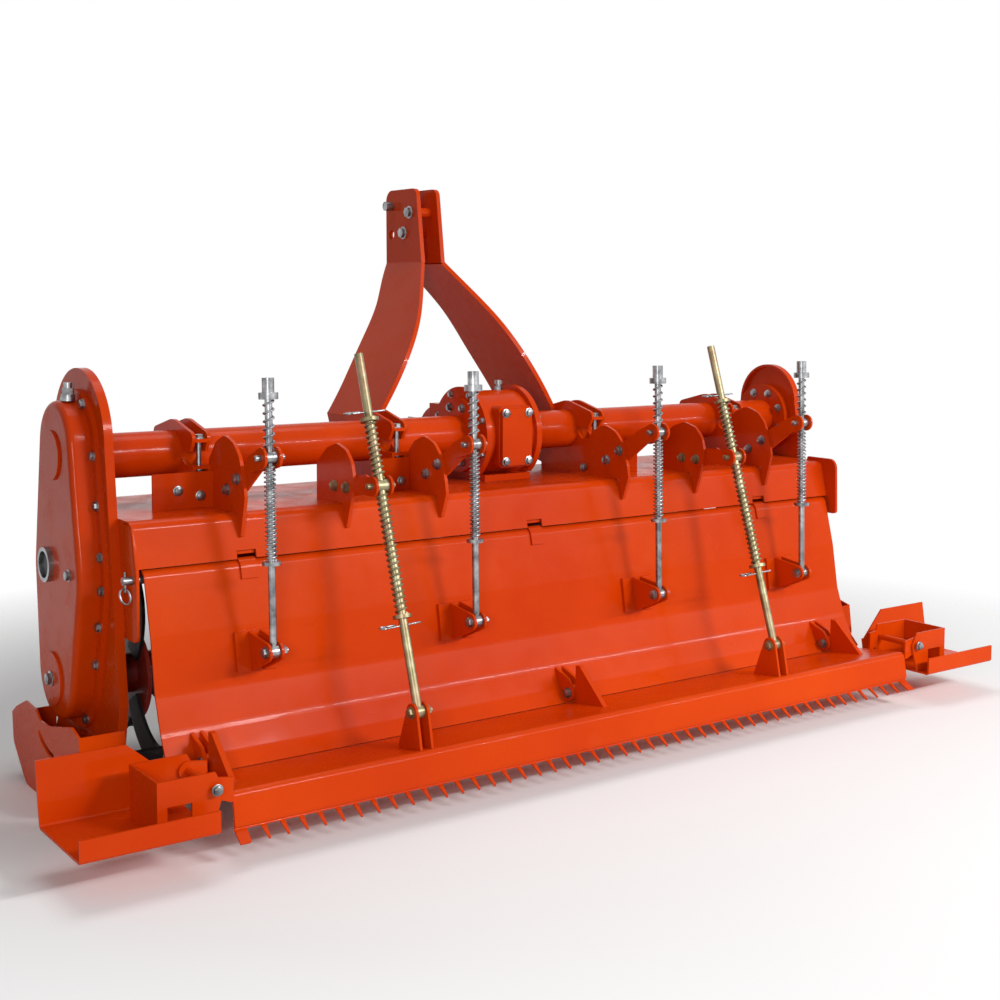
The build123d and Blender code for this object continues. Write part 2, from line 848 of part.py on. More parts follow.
def blade_shank():
    """Curved arm of a blade in the flange's plane, bolted near the flange's edge."""
    with BuildLine() as outline:
        Line((58, -26), (58, 26))
        Spline((58, 26), (120, 34), (176, 62), (206, 104))
        Line((206, 104), (232, 52))
        Spline((232, 52), (190, 0), (120, -28), (58, -26))
    make_face(outline.edges())


def blade_tip():
    """Edge of the blade where it turns square to the flange, seen along the rotor."""
    with BuildLine() as outline:
        ThreePointArc((232, 52), (224, 80), (206, 104))
        Line((206, 104), (199, 99))
        ThreePointArc((199, 99), (216, 76), (224, 50))
        Line((224, 50), (232, 52))
    make_face(outline.edges())


for hand, name in ((-1, "blades_left_hand"), (1, "blades_right_hand")):
    with BuildPart() as blades:
        for i, flange in enumerate(flange_x):
            x = flange + hand * rotor_flange / 2
            for j in range(blades_a_side):
                turn = i * flange_twist + (j + (0.5 if hand > 0 else 0)) * 360 / blades_a_side
                place = Plane(
                    origin=(x, tube_y, tube_z - rotor_drop),
                    x_dir=(0, cos(turn * pi / 180), sin(turn * pi / 180)),
                    z_dir=(hand, 0, 0),
                )
                with BuildSketch(place) as shank:
                    blade_shank()
                extrude(shank.sketch, amount=blade_thickness)
                with BuildSketch(place) as tip:
                    blade_tip()
                extrude(tip.sketch, amount=blade_reach)
    save(blades.part, name)

# ---------------------------------------------------------------- apron clevises and hinge ears
eye_radius = 14.0
eye_half = 10.0
clevis_ear = 6.0
clevis_base = 96.0
clevis_base_top = -362.0
clevis_base_foot = -446.0


def apron_face(z):
    """Outer face of the apron at a height, between its first bends."""
    above = max(point for point in range(5) if apron_points[point][1] >= z)
    (y0, z0), (y1, z1) = apron_points[above], apron_points[above + 1]
    return y0 + (y1 - y0) * (z - z0) / (z1 - z0)


with BuildPart() as apron_clevises:
    for x in spring_rod_x:
        for start in (x - eye_half - side_gap - clevis_ear, x + eye_half + side_gap):
            with BuildSketch(side(start)):
                with BuildSketch(mode=Mode.PRIVATE) as rounds:
                    with Locations(spring_eye):
                        Circle(20)
                make_hull(
                    rounds.sketch.edges()
                    + Edge.make_line(
                        (apron_face(clevis_base_top) - plate, clevis_base_top),
                        (apron_face(clevis_base_foot) - plate, clevis_base_foot),
                    )
                )
            extrude(amount=clevis_ear)
        with BuildSketch(side(x - clevis_base / 2)):
            Polygon(
                (apron_face(clevis_base_top), clevis_base_top),
                (apron_face(clevis_base_foot), clevis_base_foot),
                (apron_face(clevis_base_foot) - plate, clevis_base_foot),
                (apron_face(clevis_base_top) - plate, clevis_base_top),
                align=None,
            )
        extrude(amount=clevis_base)
save(apron_clevises.part, "apron_clevises")

leveller_pin = 7.0
leveller_hinge_x = (35.0 - leveller_half, 0.0, leveller_half - 90.0)
leveller_lug = 12.0
leveller_ear = 8.0
leveller_ear_radius = 20.0

with BuildPart() as apron_ears:
    for x in leveller_hinge_x:
        inner = leveller_lug / 2 + side_gap
        for start in (x - inner - leveller_ear, x + inner):
            with BuildSketch(side(start)) as ear_face:
                with BuildLine():
                    Polyline(
                        leveller_pivot,
                        (-418, -584),
                        (-404, -566),
                        (apron_face(-548), -548),
                        (apron_face(-596), -596),
                        leveller_pivot,
                    )
                make_face()
                with Locations(leveller_pivot):
                    Circle(leveller_ear_radius)
                    Circle(leveller_pin + pin_gap, mode=Mode.SUBTRACT)
                with BuildLine():
                    FilletPolyline(apron_points, radius=apron_bends)
                    Line(apron_points[-1], (-300, -700))
                    Line((-300, -700), (0, -400))
                    Line((0, -400), apron_points[0])
                make_face(mode=Mode.SUBTRACT)
            extrude(amount=leveller_ear)
save(apron_ears.part, "apron_ears")

# ---------------------------------------------------------------- leveller behind the apron
leveller_front = (-417.0, -622.0)
leveller_fold = (-600.0, -599.0)
leveller_lip = (-612.0, -668.0)
leveller_sheet = 6.0


def bar_top(y):
    """Upper face of the leveller's bar at a distance y."""
    (y0, z0), (y1, z1) = leveller_front, leveller_fold
    return z0 + (z1 - z0) * (y - y0) / (y1 - y0)


with BuildPart() as leveller_bar:
    with BuildSketch(side(-leveller_half)):
        with BuildLine():
            FilletPolyline(leveller_front, leveller_fold, leveller_lip, radius=14)
            offset(amount=leveller_sheet, side=Side.LEFT)
        make_face()
    extrude(amount=2 * leveller_half)
save(leveller_bar.part, "leveller_bar")

comb_points = 48
comb_pitch = 2 * leveller_half / comb_points
comb_sheet = 4.0
comb_tooth = 11.0
comb_seat = 14.0  # the strip's depth on the lip
comb_tip = (-636.0, -693.0)

lip_run = (Vector(*leveller_lip) - Vector(*leveller_fold)).normalized()
lip_inside = Vector(*leveller_lip) + Vector(-lip_run.Y, lip_run.X) * leveller_sheet
comb_top = lip_inside - lip_run * comb_seat
comb_bend = lip_inside + lip_run * 5

with BuildPart() as leveller_comb:
    with BuildSketch(side(-leveller_half)):
        with BuildLine():
            FilletPolyline(comb_top, comb_bend, comb_tip, radius=5)
            offset(amount=comb_sheet, side=Side.LEFT)
        make_face()
    extrude(amount=2 * leveller_half)
    with BuildSketch(facing_rear(leveller_lip[0] + 30)):
        with GridLocations(comb_pitch, 0, comb_points - 1, 1):
            Polygon(
                (-(comb_pitch - comb_tooth) / 2, comb_bend.Y - 1),
                ((comb_pitch - comb_tooth) / 2, comb_bend.Y - 1),
                (comb_pitch / 2 - 0.5, comb_tip[1] - 8),
                (-comb_pitch / 2 + 0.5, comb_tip[1] - 8),
                align=None,
            )
    extrude(amount=90, mode=Mode.SUBTRACT)
save(leveller_comb.part, "leveller_comb")

with BuildPart() as leveller_gussets:
    for x in leveller_hinge_x:
        with BuildSketch(side(x - leveller_lug / 2)):
            Polygon(
                (-424, -530),
                (-440, -530),
                (-530, bar_top(-530)),
                (-420, bar_top(-420)),
                (leveller_pivot[0] - leveller_ear_radius + 4, -612),
                align=None,
            )
            with Locations(leveller_pivot):
                Circle(leveller_ear_radius - 2)
        extrude(amount=leveller_lug)
        inner = leveller_lug / 2 + side_gap + leveller_ear
        disc(x - inner, x + inner, leveller_pivot, leveller_pin)
save(leveller_gussets.part, "leveller_gussets")

with BuildPart() as leveller_clevises:
    for x in adjuster_x:
        for start in (x - eye_half - side_gap - clevis_ear, x + eye_half + side_gap):
            with BuildSketch(side(start)):
                with BuildSketch(mode=Mode.PRIVATE) as rounds:
                    with Locations(adjuster_eye):
                        Circle(20)
                make_hull(
                    rounds.sketch.edges()
                    + Edge.make_line((-500, bar_top(-500)), (-590, bar_top(-590)))
                )
            extrude(amount=clevis_ear)
save(leveller_clevises.part, "leveller_clevises")

bracket_plate = 6.0
bracket_radius = 20.0
wing_pin = 8.0
wing_sheet = 5.0
wing_box_front = -471.0
wing_box_rear = -611.0
bracket_front = wing_box_front - wing_sheet - side_gap
bracket_rear = wing_box_rear + wing_sheet + side_gap

with BuildPart() as leveller_ends:
    for outward in (-1, 1):
        for y, rearward in ((bracket_front, 1), (bracket_rear, -1)):
            with BuildSketch(facing_rear(y)):
                with BuildSketch(mode=Mode.PRIVATE) as rounds:
                    with Locations((outward * wing_pivot_x, wing_pivot_z)):
                        Circle(bracket_radius)
                    with Locations((outward * (leveller_half + 3), wing_pivot_z - 10)):
                        Rectangle(6, 48)
                make_hull(rounds.sketch.edges())
            extrude(amount=rearward * bracket_plate)
        with BuildSketch(
            facing_rear(wing_box_front + 8, outward * wing_pivot_x, wing_pivot_z)
        ):
            Circle(wing_pin)
        extrude(amount=wing_box_front - wing_box_rear + 16)
save(leveller_ends.part, "leveller_ends")

# ---------------------------------------------------------------- folding end trays
wing_inner = wing_pivot_x + 6.0
wing_outer = wing_inner + 273.0
wing_floor = -661.0
wing_rear = -648.0
wing_front = -422.0
wing_box_outer = wing_pivot_x + 118.0
notch_width = 50.0
notch_height = 60.0
wing_box_top = -551.0

for outward, side_name in ((-1, "left"), (1, "right")):
    with BuildPart() as wing_tray:
        with BuildSketch(side(outward * wing_inner)):
            with BuildLine():
                FilletPolyline(
                    (wing_rear, -615),
                    (wing_rear, wing_floor),
                    (wing_front, wing_floor),
                    (wing_front + 4, -640),
                    radius=(8, 10),
                )
                offset(amount=wing_sheet, side=Side.LEFT)
            make_face()
        extrude(amount=outward * (wing_outer - wing_inner))
        upright = Plane(
            origin=(0, tube_y + wing_front + 4, tube_z - 640),
            x_dir=(1, 0, 0),
            z_dir=(0, -108, 18),
        )
        with BuildSketch(upright):
            Polygon(
                (outward * wing_inner, 0),
                (outward * wing_outer, 0),
                (outward * wing_outer, 108),
                (outward * (wing_inner + 92), 108),
                (outward * (wing_inner + 8), 36),
                (outward * wing_inner, 36),
                align=None,
            )
        extrude(amount=wing_sheet)
    save(wing_tray.part, f"wing_tray_{side_name}")

    with BuildPart() as wing_box:
        for y, rearward in ((wing_box_front, 1), (wing_box_rear, -1)):
            with BuildSketch(facing_rear(y)):
                Polygon(
                    (outward * (wing_pivot_x + 4), wing_floor + wing_sheet),
                    (outward * wing_box_outer, wing_floor + wing_sheet),
                    (outward * wing_box_outer, wing_box_top),
                    (outward * wing_pivot_x, wing_box_top),
                    (outward * (wing_pivot_x - 18), wing_pivot_z),
                    (outward * (wing_pivot_x - 14), wing_pivot_z - 18),
                    align=None,
                )
                with Locations((outward * wing_pivot_x, wing_pivot_z)):
                    Circle(wing_pin + pin_gap, mode=Mode.SUBTRACT)
                if y == wing_box_rear:
                    with Locations((outward * (wing_box_outer - 45), wing_floor)):
                        Rectangle(notch_width, 2 * notch_height, mode=Mode.SUBTRACT)
            extrude(amount=rearward * wing_sheet)
        with BuildSketch(side(outward * (wing_box_outer - wing_sheet))):
            Polygon(
                (wing_box_front, wing_floor + wing_sheet),
                (wing_box_rear, wing_floor + wing_sheet),
                (wing_box_rear, wing_box_top),
                (wing_box_front, wing_box_top),
                align=None,
            )
        extrude(amount=outward * wing_sheet)
    save(wing_box.part, f"wing_box_{side_name}")

# ---------------------------------------------------------------- spring rods
spring_radius = 13.0
adjuster_spring_radius = 15.0
cup_radius = 21.0  # the cupped washer on top of a spring
cup_height = 14.0
cap_radius = 13.0
cap_height = 45.0
collar_radius = 20.0
collar = 8.0
collar_gap = 205.0  # the lower collar below the swivel


def rod_with_eye(x, eye, swivel, radius, beyond):
    """Rod from an eye, through its swivel and on by a length beyond it."""
    reach = distance(eye, swivel) + beyond
    with BuildSketch(along_rod(x, eye, swivel)) as section:
        Circle(radius)
    extrude(section.sketch, amount=reach)
    disc(x - eye_half, x + eye_half, eye, eye_radius)


def sleeve(x, low, high, start, length, radius, bore):
    """Round sleeve on a rod, from a distance along it from its low end."""
    with BuildSketch(along_rod(x, low, high, start)) as section:
        Circle(radius)
        if bore:
            Circle(bore, mode=Mode.SUBTRACT)
    extrude(section.sketch, amount=length)


def swivels(xs, low, centre, radius, half, bore):
    """Cross pivots that the rods slide through."""
    for x in xs:
        disc(x - half, x + half, centre, radius)
        disc(x - half - side_gap - ear, x + half + side_gap + ear, centre, journal_radius)
        with BuildSketch(along_rod(x, low, centre, distance(low, centre) - 2 * radius)) as section:
            Circle(bore)
        extrude(section.sketch, amount=4 * radius, mode=Mode.SUBTRACT)


spring_reach = distance(spring_eye, spring_swivel)
adjuster_reach = distance(adjuster_eye, adjuster_swivel)

with BuildPart() as spring_swivels:
    swivels(
        spring_rod_x,
        spring_eye,
        spring_swivel,
        swivel_radius,
        swivel_half,
        spring_rod_radius + pin_gap,
    )
save(spring_swivels.part, "spring_swivels")

with BuildPart() as spring_rods:
    for x in spring_rod_x:
        rod_with_eye(x, spring_eye, spring_swivel, spring_rod_radius, spring_rod_top)
        top = spring_reach + spring_rod_top - cap_height
        sleeve(x, spring_eye, spring_swivel, top, cup_height, cup_radius, 0)
        sleeve(x, spring_eye, spring_swivel, top, cap_height, cap_radius, 0)
        low = spring_reach - swivel_radius - collar_gap - collar
        sleeve(x, spring_eye, spring_swivel, low, collar, collar_radius, 0)
save(spring_rods.part, "spring_rods")

with BuildPart() as springs_upper:
    for x in spring_rod_x:
        start = spring_reach + swivel_radius + 1
        length = spring_rod_top - cap_height - swivel_radius - 1
        sleeve(x, spring_eye, spring_swivel, start, length, spring_radius, spring_rod_radius)
save(springs_upper.part, "springs_upper")

with BuildPart() as springs_lower:
    for x in spring_rod_x:
        start = spring_reach - swivel_radius - collar_gap
        sleeve(
            x, spring_eye, spring_swivel, start, collar_gap - 1, spring_radius, spring_rod_radius
        )
save(springs_lower.part, "springs_lower")

# ---------------------------------------------------------------- adjuster rods
adjuster_collar = 8.0
adjuster_collar_radius = 21.0
adjuster_upper_stop = 146.0  # beyond the swivel
adjuster_lower_stop = 285.0  # before the swivel

with BuildPart() as adjuster_swivels:
    swivels(
        adjuster_x,
        adjuster_eye,
        adjuster_swivel,
        adjuster_swivel_radius,
        adjuster_swivel_half,
        adjuster_radius + pin_gap,
    )
save(adjuster_swivels.part, "adjuster_swivels")

with BuildPart() as adjuster_rods:
    for x in adjuster_x:
        rod_with_eye(x, adjuster_eye, adjuster_swivel, adjuster_radius, adjuster_top)
        for start in (
            adjuster_reach + adjuster_upper_stop,
            adjuster_reach - adjuster_lower_stop - adjuster_collar,
        ):
            sleeve(
                x,
                adjuster_eye,
                adjuster_swivel,
                start,
                adjuster_collar,
                adjuster_collar_radius,
                0,
            )
save(adjuster_rods.part, "adjuster_rods")

for name, start, length in (
    (
        "adjuster_springs_upper",
        adjuster_reach + adjuster_swivel_radius + 1,
        adjuster_upper_stop - adjuster_swivel_radius - 1,
    ),
    (
        "adjuster_springs_lower",
        adjuster_reach - adjuster_lower_stop,
        adjuster_lower_stop - adjuster_swivel_radius - 1,
    ),
):
    with BuildPart() as adjuster_springs:
        for x in adjuster_x:
            sleeve(
                x,
                adjuster_eye,
                adjuster_swivel,
                start,
                length,
                adjuster_spring_radius,
                adjuster_radius,
            )
    save(adjuster_springs.part, name)
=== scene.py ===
"""Looks for the rotavator: paint and plating, bolts, springs, clips, floor, light and camera."""

from math import cos, hypot, pi, radians, sin

import bmesh
import bpy
from mathutils import Matrix, Vector


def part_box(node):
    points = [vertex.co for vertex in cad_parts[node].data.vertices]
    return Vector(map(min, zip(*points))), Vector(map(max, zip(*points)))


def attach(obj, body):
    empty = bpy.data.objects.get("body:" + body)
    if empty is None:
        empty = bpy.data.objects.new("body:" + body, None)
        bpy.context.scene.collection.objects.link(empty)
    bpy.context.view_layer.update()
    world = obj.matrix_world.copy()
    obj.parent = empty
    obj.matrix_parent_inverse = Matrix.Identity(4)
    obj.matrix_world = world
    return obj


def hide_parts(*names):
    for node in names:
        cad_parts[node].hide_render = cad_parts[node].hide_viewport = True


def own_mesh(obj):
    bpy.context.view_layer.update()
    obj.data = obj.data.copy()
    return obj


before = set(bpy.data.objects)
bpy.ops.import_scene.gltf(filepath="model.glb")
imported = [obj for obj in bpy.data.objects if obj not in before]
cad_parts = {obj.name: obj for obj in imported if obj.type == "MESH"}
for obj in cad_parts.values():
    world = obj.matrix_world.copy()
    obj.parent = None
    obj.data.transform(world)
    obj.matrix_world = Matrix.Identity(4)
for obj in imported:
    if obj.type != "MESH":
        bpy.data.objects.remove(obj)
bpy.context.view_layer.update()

TUBE_Y = 0.120  # the main tube's axis
TUBE_Z = 0.745


def at(x, y, z):
    """Point given in millimetres from the main tube's axis, in metres in the model's frame."""
    return Vector((x / 1000, TUBE_Y + y / 1000, TUBE_Z + z / 1000))


# ------------------------------------------------------------------ shader expressions
class Wire:
    """One output of a finish. A number + - or * a wire adds a Math node to that finish."""

    def __init__(self, finish, socket):
        self.finish = finish
        self.socket = socket

    def math(self, operation, first, second):
        return self.finish.add("ShaderNodeMath", {"operation": operation}, {0: first, 1: second})

    def __radd__(self, other):
        return self.math("ADD", other, self)

    def __rsub__(self, other):
        return self.math("SUBTRACT", other, self)

    def __rmul__(self, other):
        return self.math("MULTIPLY", other, self)


class Finish:
    """A material whose nodes are added one call at a time."""

    def __init__(self, name, **fixed):
        self.material = bpy.data.materials.new(name)
        self.material.use_nodes = True
        self.nodes = self.material.node_tree.nodes
        self.links = self.material.node_tree.links
        self.surface = self.nodes["Principled BSDF"]
        for socket, value in fixed.items():
            self.surface.inputs[socket.replace("_", " ")].default_value = value
        self.place = self.add("ShaderNodeTexCoord", {}, {}, "Object")

    def add(self, kind, settings, sockets, output=0):
        node = self.nodes.new(kind)
        for name, value in settings.items():
            if name == "stops":
                self.set_stops(node.color_ramp, value)
            else:
                setattr(node, name, value)
        for name, value in sockets.items():
            self.plug(node.inputs[name], value)
        return Wire(self, node.outputs[output])

    def set_stops(self, ramp, stops):
        while len(ramp.elements) < len(stops):
            ramp.elements.new(0.5)
        for element, (position, colour) in zip(ramp.elements, stops):
            element.position = position
            element.color = colour

    def plug(self, socket, value):
        if isinstance(value, Wire):
            self.links.new(value.socket, socket)
        else:
            socket.default_value = value

    def drive(self, socket, value):
        self.plug(self.surface.inputs[socket], value)

    def noise(self, scale, detail=2.0, roughness=0.5):
        sockets = {
            "Vector": self.place,
            "Scale": scale,
            "Detail": detail,
            "Roughness": roughness,
        }
        return self.add("ShaderNodeTexNoise", {}, sockets, "Fac")

    def ramp(self, value, *stops):
        return self.add("ShaderNodeValToRGB", {"stops": stops}, {"Fac": value}, "Color")

    def span(self, value, low, high, start=0.0, end=1.0):
        sockets = {
            "Value": value,
            "From Min": low,
            "From Max": high,
            "To Min": start,
            "To Max": end,
        }
        return self.add("ShaderNodeMapRange", {}, sockets)

    def blend(self, mask, first, second):
        sockets = {"Factor": mask, "A": first, "B": second}
        return self.add("ShaderNodeMix", {"data_type": "RGBA"}, sockets, "Result")

    def bump(self, height, strength, depth):
        sockets = {"Height": height, "Strength": strength, "Distance": depth}
        self.drive("Normal", self.add("ShaderNodeBump", {}, sockets))


# ------------------------------------------------------------------ finishes
def orange_paint():
    """Gloss enamel over sheet steel: slight orange peel, dust haze and a little fading."""
    paint = Finish("orange_paint", Coat_Roughness=0.05, Specular_IOR_Level=0.05)
    fade = paint.noise(2.2, 3.0)
    grime = paint.noise(17.0, 6.0, 0.62)
    colour = paint.ramp(
        fade,
        (0.3, (0.54, 0.036, 0.001, 1)),
        (0.55, (0.61, 0.048, 0.001, 1)),
        (0.8, (0.68, 0.062, 0.002, 1)),
    )
    dusty = paint.span(grime, 0.6, 0.82, 0.0, 0.14)
    colour = paint.blend(dusty, colour, (0.58, 0.11, 0.045, 1))
    paint.drive("Base Color", colour)
    paint.drive("Roughness", 0.20 + 0.18 * paint.span(grime, 0.38, 0.78))
    paint.drive("Coat Weight", 0.09 - 0.05 * paint.span(grime, 0.45, 0.8))
    paint.bump(paint.noise(7.0, 2.0), 0.12, 0.0015)
    return paint.material


def rotor_paint():
    """Thinner, darker red paint on the rotor, scuffed to primer in patches."""
    paint = Finish("rotor_paint", Coat_Weight=0.2)
    wear = paint.noise(24.0, 6.0, 0.65)
    paint.drive(
        "Base Color",
        paint.ramp(
            wear,
            (0.35, (0.20, 0.012, 0.006, 1)),
            (0.6, (0.29, 0.02, 0.008, 1)),
            (0.75, (0.11, 0.02, 0.012, 1)),
        ),
    )
    paint.drive("Roughness", 0.34 + 0.3 * wear)
    paint.bump(wear, 0.3, 0.0008)
    return paint.material


def black_blade():
    """Heat-treated spring steel dipped in black paint, grey where it has rubbed."""
    steel = Finish("black_blade", Specular_IOR_Level=0.5)
    scale = steel.noise(46.0, 5.0, 0.6)
    rub = steel.span(scale, 0.6, 0.72)
    steel.drive("Base Color", steel.blend(rub, (0.013, 0.013, 0.015, 1), (0.08, 0.075, 0.07, 1)))
    steel.drive("Roughness", 0.38 + 0.3 * scale)
    steel.drive("Metallic", 0.4 * rub)
    steel.bump(scale, 0.35, 0.0007)
    return steel.material


def zinc_plate():
    """Bright zinc plating: cool grey with soft cloudy spangle and fine drawing marks."""
    zinc = Finish("zinc_plate")
    cloud = zinc.noise(38.0, 4.0, 0.6)
    fine = zinc.noise(420.0, 2.0)
    zinc.drive(
        "Base Color",
        zinc.ramp(
            cloud,
            (0.3, (0.11, 0.115, 0.12, 1)),
            (0.5, (0.27, 0.275, 0.285, 1)),
            (0.75, (0.50, 0.51, 0.52, 1)),
        ),
    )
    zinc.drive("Metallic", 0.85 + 0.1 * cloud)
    zinc.drive("Roughness", 0.20 + 0.22 * cloud)
    zinc.bump(fine, 0.12, 0.0002)
    return zinc.material


def yellow_zinc():
    """Yellow passivated zinc, straw to olive with faint pink patches."""
    zinc = Finish("yellow_zinc")
    cloud = zinc.noise(30.0, 4.0, 0.6)
    tint = zinc.noise(11.0, 2.0)
    straw = zinc.ramp(
        cloud,
        (0.3, (0.13, 0.11, 0.055, 1)),
        (0.5, (0.25, 0.215, 0.115, 1)),
        (0.75, (0.40, 0.37, 0.24, 1)),
    )
    colour = zinc.blend(zinc.span(tint, 0.5, 0.7, 0.0, 0.35), straw, (0.42, 0.24, 0.16, 1))
    zinc.drive("Base Color", colour)
    zinc.drive("Metallic", 0.7 + 0.15 * cloud)
    zinc.drive("Roughness", 0.28 + 0.22 * cloud)
    zinc.bump(zinc.noise(420.0, 2.0), 0.12, 0.0002)
    return zinc.material


def bare_steel():
    """Machined steel on the shaft's splines, lightly oiled."""
    steel = Finish("bare_steel", Metallic=0.9)
    cloud = steel.noise(60.0, 4.0)
    steel.drive(
        "Base Color", steel.ramp(cloud, (0.3, (0.34, 0.33, 0.31, 1)), (0.8, (0.5, 0.49, 0.47, 1)))
    )
    steel.drive("Roughness", 0.24 + 0.2 * cloud)
    steel.bump(steel.noise(500.0, 2.0), 0.1, 0.0002)
    return steel.material


ORANGE = orange_paint()
ROTOR_RED = rotor_paint()
BLADE_BLACK = black_blade()
ZINC = zinc_plate()
GOLD = yellow_zinc()
STEEL = bare_steel()

NODE_FINISHES = {
    "rotor_shaft": ROTOR_RED,
    "rotor_flanges": ROTOR_RED,
    "blades_left_hand": BLADE_BLACK,
    "blades_right_hand": BLADE_BLACK,
    "hinge_rod": ZINC,
    "hitch_pins": ZINC,
    "mast_pins": ZINC,
    "spring_rods": ZINC,
    "springs_upper": ZINC,
    "springs_lower": ZINC,
    "spring_swivels": ZINC,
    "adjuster_rods": GOLD,
    "adjuster_swivels": GOLD,
    "adjuster_springs_upper": GOLD,
    "adjuster_springs_lower": GOLD,
    "pto_shaft": STEEL,
    "case_port": ZINC,
    "case_breather": ZINC,
}

for name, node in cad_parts.items():
    node.data.materials.clear()
    node.data.materials.append(NODE_FINISHES.get(name, ORANGE))


# ------------------------------------------------------------------ modelling by operators
SMOOTH_BELOW = radians(38)  # edges flatter than this are shaded smooth
CHAMFER_RISE = 0.6  # height of a chamfer, as a share of its width
TURN_STEP = 0.37  # radians from one bolt to the next, so that their corners don't line up


def settle():
    """Leaves edit mode, with nothing selected."""
    if bpy.context.object and bpy.context.object.mode == "EDIT":
        bpy.ops.object.mode_set(mode="OBJECT")
    bpy.ops.object.select_all(action="DESELECT")


def activate(piece):
    """Makes a piece the active one and the only one selected."""
    settle()
    piece.select_set(True)
    bpy.context.view_layer.objects.active = piece


def edit(piece, kind="FACE"):
    """Opens a piece for editing by faces, edges or corners, with nothing selected."""
    activate(piece)
    bpy.ops.object.mode_set(mode="EDIT")
    bpy.ops.mesh.select_mode(type=kind)
    bpy.ops.mesh.select_all(action="DESELECT")


def choose_top(piece):
    """Selects the faces that look up."""
    mesh = bmesh.from_edit_mesh(piece.data)
    for face in mesh.faces:
        face.select_set(face.normal.z > 0.9)
    bmesh.update_edit_mesh(piece.data)


def move_corner(piece, number, goal):
    """Moves one corner of a piece that is open for editing to a point."""
    mesh = bmesh.from_edit_mesh(piece.data)
    mesh.verts.ensure_lookup_table()
    step = goal - mesh.verts[number].co
    for corner in mesh.verts:
        corner.select_set(corner.index == number)
    bmesh.update_edit_mesh(piece.data)
    bpy.ops.transform.translate(value=step)


def prism(sides, radius, low, high, chamfer):
    """Upright prism or round bar from z = low to high, with its top edge chamfered."""
    settle()
    bpy.ops.mesh.primitive_cylinder_add(
        vertices=sides, radius=radius, depth=high - low, location=(0, 0, (low + high) / 2)
    )
    piece = bpy.context.object
    bpy.ops.object.transform_apply(location=True, rotation=False, scale=False)
    edit(piece)
    choose_top(piece)
    bpy.ops.mesh.inset(thickness=chamfer)
    bpy.ops.transform.translate(value=(0, 0, chamfer * CHAMFER_RISE))
    settle()
    return piece


def upright_ring(location, radius, wire, segments):
    """Round wire ring that stands in the plane of x and z."""
    settle()
    bpy.ops.mesh.primitive_torus_add(
        location=location,
        rotation=(pi / 2, 0, 0),
        major_radius=radius,
        minor_radius=wire,
        major_segments=segments,
        minor_segments=8,
    )
    return bpy.context.object


def merged(pieces):
    """One object made of several."""
    settle()
    for piece in pieces:
        piece.select_set(True)
    bpy.context.view_layer.objects.active = pieces[0]
    if len(pieces) > 1:
        bpy.ops.object.join()
    bpy.ops.object.transform_apply(location=True, rotation=True, scale=True)
    bpy.ops.object.shade_smooth_by_angle(angle=SMOOTH_BELOW)
    return bpy.context.object


def copy_at(shape, point, way, turn=0.0):
    """Copy of a shape, with its foot at a point and its +z along a direction."""
    mesh = shape.data.copy()
    tilt = Vector((0, 0, 1)).rotation_difference(Vector(way)).to_matrix().to_4x4()
    mesh.transform(Matrix.Translation(point) @ tilt @ Matrix.Rotation(turn, 4, "Z"))
    copy = bpy.data.objects.new(shape.name + "_copy", mesh)
    bpy.context.collection.objects.link(copy)
    return copy


def finished(piece, name, body, finish):
    """Names a piece, gives it its finish and lets it ride on a body."""
    piece.name = name
    piece.data.name = name
    piece.data.materials.clear()
    piece.data.materials.append(finish)
    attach(piece, body)
    return piece


def fixings(name, body, finish, places):
    """One object of many copies: places are (shape, point, direction)."""
    copies = [
        copy_at(shape, point, way, TURN_STEP * number)
        for number, (shape, point, way) in enumerate(places)
    ]
    return finished(merged(copies), name, body, finish)


def discard(*shapes):
    """Deletes shapes that were only there to be copied."""
    settle()
    for shape in shapes:
        shape.select_set(True)
    bpy.ops.object.delete()


# ------------------------------------------------------------------ bolt shapes, in metres
# Lengths are shares of the size, which is the hexagon's radius over its corners.
WASHER_RADIUS = 1.25
WASHER_TOP = 0.18
WASHER_CHAMFER = 0.05
HEAD_TOP = 0.82
NUT_TOP = 1.0
HEX_CHAMFER = 0.14
STUD_RADIUS = 0.55
STUD_FOOT = 0.9
STUD_TOP = 1.45
STUD_CHAMFER = 0.12


def washer(size):
    return prism(20, size * WASHER_RADIUS, 0, size * WASHER_TOP, size * WASHER_CHAMFER)


def hexagon(size, top):
    return prism(6, size, size * WASHER_TOP, size * top, size * HEX_CHAMFER)


def hex_head(size):
    """Hexagon head on a washer."""
    return merged([washer(size), hexagon(size, HEAD_TOP)])


def nut_on_stud(size):
    """Washer, nut and the thread's end standing out of it."""
    nut = merged([washer(size), hexagon(size, NUT_TOP)])
    stud = prism(
        12, size * STUD_RADIUS, size * STUD_FOOT, size * STUD_TOP, size * STUD_CHAMFER
    )
    return merged([nut, stud])


LEFT, RIGHT = (-1, 0, 0), (1, 0, 0)
REAR, UP = (0, -1, 0), (0, 0, 1)
M8, M10, M12, M16 = 0.0078, 0.0095, 0.0108, 0.0138

m8_head = hex_head(M8)
m10_head = hex_head(M10)
m12_head, m12_nut = hex_head(M12), nut_on_stud(M12)
m16_head, m16_nut = hex_head(M16), nut_on_stud(M16)
PIN_RADIUS = 0.0068
PIN_LENGTH = 0.012
PIN_CHAMFER = 0.0015
pin_end = prism(16, PIN_RADIUS, 0, PIN_LENGTH, PIN_CHAMFER)

